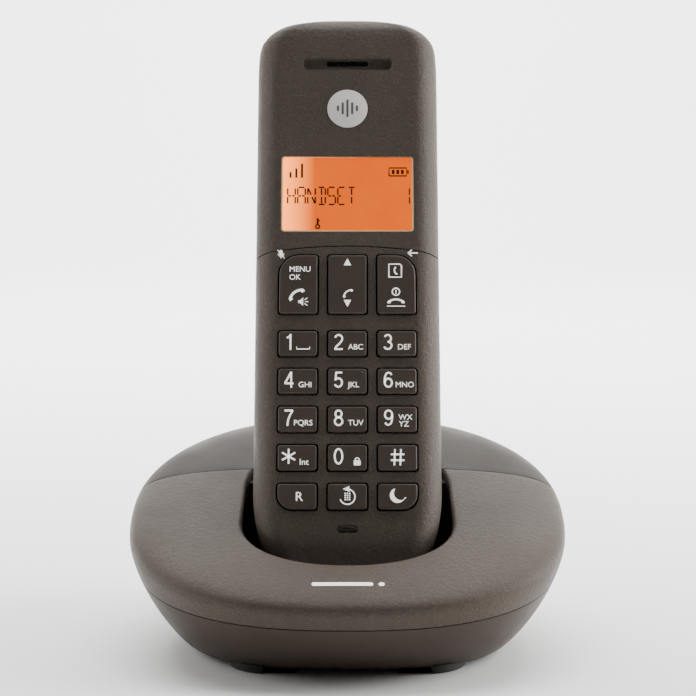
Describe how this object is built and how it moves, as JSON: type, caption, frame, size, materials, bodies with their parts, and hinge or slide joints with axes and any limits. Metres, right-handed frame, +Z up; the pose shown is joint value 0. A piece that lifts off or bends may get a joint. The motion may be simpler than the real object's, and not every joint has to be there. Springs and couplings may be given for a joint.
{
  "type": "cordless phone with base",
  "caption": "Cordless phone handset standing in a rounded charging base, with a lit display, raised keys and a sloping cradle.",
  "frame": {"origin": "bottom centre of the whole phone's box, on the surface that the base's feet stand on", "axes": "+Z up, +X to the right as the user faces the keys, +Y away from the user; the handset leans back towards +Y"},
  "size_m": [0.1128, 0.0992, 0.1607],
  "materials": {
    "cover": "fine sparkle-grain moulded plastic, warm grey-brown",
    "rear_cover": "smooth satin moulded plastic, darker warm grey",
    "shell": "smooth satin moulded plastic, dark brown-grey",
    "well": "dark matt moulded plastic",
    "face": "coarse-grained moulded plastic, dark brown-grey",
    "key_cap": "satin key caps with white printing",
    "display": "clear window over an orange lit display",
    "white": "white printed disc",
    "rubber": "dark moulded rubber",
    "board": "circuit board laminate",
    "metal": "plated metal",
    "cell": "plain green battery sleeve",
    "socket": "black socket housing"
  },
  "bodies": {
    "base": {"base_lower_shell": "shell", "base_front_cover": "cover", "base_rear_cover": "rear_cover", "cradle_well": "well", "base_circuit_board": "board", "line_socket": "socket", "power_socket": "socket", "page_switch": "socket", "foot_front_left": "rubber", "foot_front_right": "rubber", "foot_rear_left": "rubber", "foot_rear_right": "rubber", "base_screw_front_left": "metal", "base_screw_front_right": "metal", "base_screw_rear_left": "metal", "base_screw_rear_right": "metal"},
    "page_button": {"page_button": "rubber"},
    "charge_contact_left": {"charge_contact_left": "metal"},
    "charge_contact_right": {"charge_contact_right": "metal"},
    "handset": {"handset_face_upper": "face", "handset_face_lower": "face", "handset_back_shell": "face", "display_window": "display", "display_module": "metal", "badge_disc": "white", "earpiece_insert": "rubber", "earpiece_receiver": "metal", "microphone": "metal", "keypad_mat": "rubber", "handset_circuit_board": "board", "battery_cell_left": "cell", "battery_cell_right": "cell", "battery_contact_lower": "metal", "battery_contact_upper": "metal", "charge_pad_left": "metal", "charge_pad_right": "metal", "case_screw_left": "metal", "case_screw_right": "metal", "loudspeaker": "metal"},
    "battery_door": {"battery_door": "face"},
    "key_1": {"key_1": "key_cap"},
    "key_2": {"key_2": "key_cap"},
    "key_3": {"key_3": "key_cap"},
    "key_4": {"key_4": "key_cap"},
    "key_5": {"key_5": "key_cap"},
    "key_6": {"key_6": "key_cap"},
    "key_7": {"key_7": "key_cap"},
    "key_8": {"key_8": "key_cap"},
    "key_9": {"key_9": "key_cap"},
    "key_star": {"key_star": "key_cap"},
    "key_0": {"key_0": "key_cap"},
    "key_hash": {"key_hash": "key_cap"},
    "key_low_left": {"key_low_left": "key_cap"},
    "key_low_middle": {"key_low_middle": "key_cap"},
    "key_low_right": {"key_low_right": "key_cap"},
    "key_function_left": {"key_function_left": "key_cap"},
    "key_function_middle": {"key_function_middle": "key_cap"},
    "key_function_right": {"key_function_right": "key_cap"}
  },
  "joints": [
    {"name": "handset_lift", "type": "slide", "parent": "base", "child": "handset", "axis": [0, 0.3665, 0.9304], "range_m": [0, 0.08]},
    {"name": "battery_door_slide", "type": "slide", "parent": "handset", "child": "battery_door", "axis": [0, -0.3665, -0.9304], "range_m": [0, 0.005]},
    {"name": "page_button_press", "type": "slide", "parent": "base", "child": "page_button", "axis": [0, 0.1889, -0.982], "range_m": [0, 0.001], "stiffness_N_per_m": 400},
    {"name": "charge_contact_left_press", "type": "slide", "parent": "base", "child": "charge_contact_left", "axis": [0, 0.9304, -0.3665], "range_m": [0, 0.001], "stiffness_N_per_m": 400},
    {"name": "charge_contact_right_press", "type": "slide", "parent": "base", "child": "charge_contact_right", "axis": [0, 0.9304, -0.3665], "range_m": [0, 0.001], "stiffness_N_per_m": 400},
    {"name": "key_1_press", "type": "slide", "parent": "handset", "child": "key_1", "axis": [0, 0.9304, -0.3665], "range_m": [0, 0.0006], "stiffness_N_per_m": 400},
    {"name": "key_2_press", "type": "slide", "parent": "handset", "child": "key_2", "axis": [0, 0.9304, -0.3665], "range_m": [0, 0.0006], "stiffness_N_per_m": 400},
    {"name": "key_3_press", "type": "slide", "parent": "handset", "child": "key_3", "axis": [0, 0.9304, -0.3665], "range_m": [0, 0.0006], "stiffness_N_per_m": 400},
    {"name": "key_4_press", "type": "slide", "parent": "handset", "child": "key_4", "axis": [0, 0.9304, -0.3665], "range_m": [0, 0.0006], "stiffness_N_per_m": 400},
    {"name": "key_5_press", "type": "slide", "parent": "handset", "child": "key_5", "axis": [0, 0.9304, -0.3665], "range_m": [0, 0.0006], "stiffness_N_per_m": 400},
    {"name": "key_6_press", "type": "slide", "parent": "handset", "child": "key_6", "axis": [0, 0.9304, -0.3665], "range_m": [0, 0.0006], "stiffness_N_per_m": 400},
    {"name": "key_7_press", "type": "slide", "parent": "handset", "child": "key_7", "axis": [0, 0.9304, -0.3665], "range_m": [0, 0.0006], "stiffness_N_per_m": 400},
    {"name": "key_8_press", "type": "slide", "parent": "handset", "child": "key_8", "axis": [0, 0.9304, -0.3665], "range_m": [0, 0.0006], "stiffness_N_per_m": 400},
    {"name": "key_9_press", "type": "slide", "parent": "handset", "child": "key_9", "axis": [0, 0.9304, -0.3665], "range_m": [0, 0.0006], "stiffness_N_per_m": 400},
    {"name": "key_star_press", "type": "slide", "parent": "handset", "child": "key_star", "axis": [0, 0.9304, -0.3665], "range_m": [0, 0.0006], "stiffness_N_per_m": 400},
    {"name": "key_0_press", "type": "slide", "parent": "handset", "child": "key_0", "axis": [0, 0.9304, -0.3665], "range_m": [0, 0.0006], "stiffness_N_per_m": 400},
    {"name": "key_hash_press", "type": "slide", "parent": "handset", "child": "key_hash", "axis": [0, 0.9304, -0.3665], "range_m": [0, 0.0006], "stiffness_N_per_m": 400},
    {"name": "key_low_left_press", "type": "slide", "parent": "handset", "child": "key_low_left", "axis": [0, 0.9304, -0.3665], "range_m": [0, 0.0006], "stiffness_N_per_m": 400},
    {"name": "key_low_middle_press", "type": "slide", "parent": "handset", "child": "key_low_middle", "axis": [0, 0.9304, -0.3665], "range_m": [0, 0.0006], "stiffness_N_per_m": 400},
    {"name": "key_low_right_press", "type": "slide", "parent": "handset", "child": "key_low_right", "axis": [0, 0.9304, -0.3665], "range_m": [0, 0.0006], "stiffness_N_per_m": 400},
    {"name": "key_function_left_rock", "type": "hinge", "parent": "handset", "child": "key_function_left", "pos_m": [-0.01263, 0.00095, 0.09159], "axis": [1, 0, 0], "range_deg": [-3, 3], "stiffness_Nm_per_rad": 0.05},
    {"name": "key_function_middle_rock", "type": "hinge", "parent": "handset", "child": "key_function_middle", "pos_m": [0, 0.00095, 0.09159], "axis": [1, 0, 0], "range_deg": [-3, 3], "stiffness_Nm_per_rad": 0.05},
    {"name": "key_function_right_rock", "type": "hinge", "parent": "handset", "child": "key_function_right", "pos_m": [0.01263, 0.00095, 0.09159], "axis": [1, 0, 0], "range_deg": [-3, 3], "stiffness_Nm_per_rad": 0.05}
  ]
}
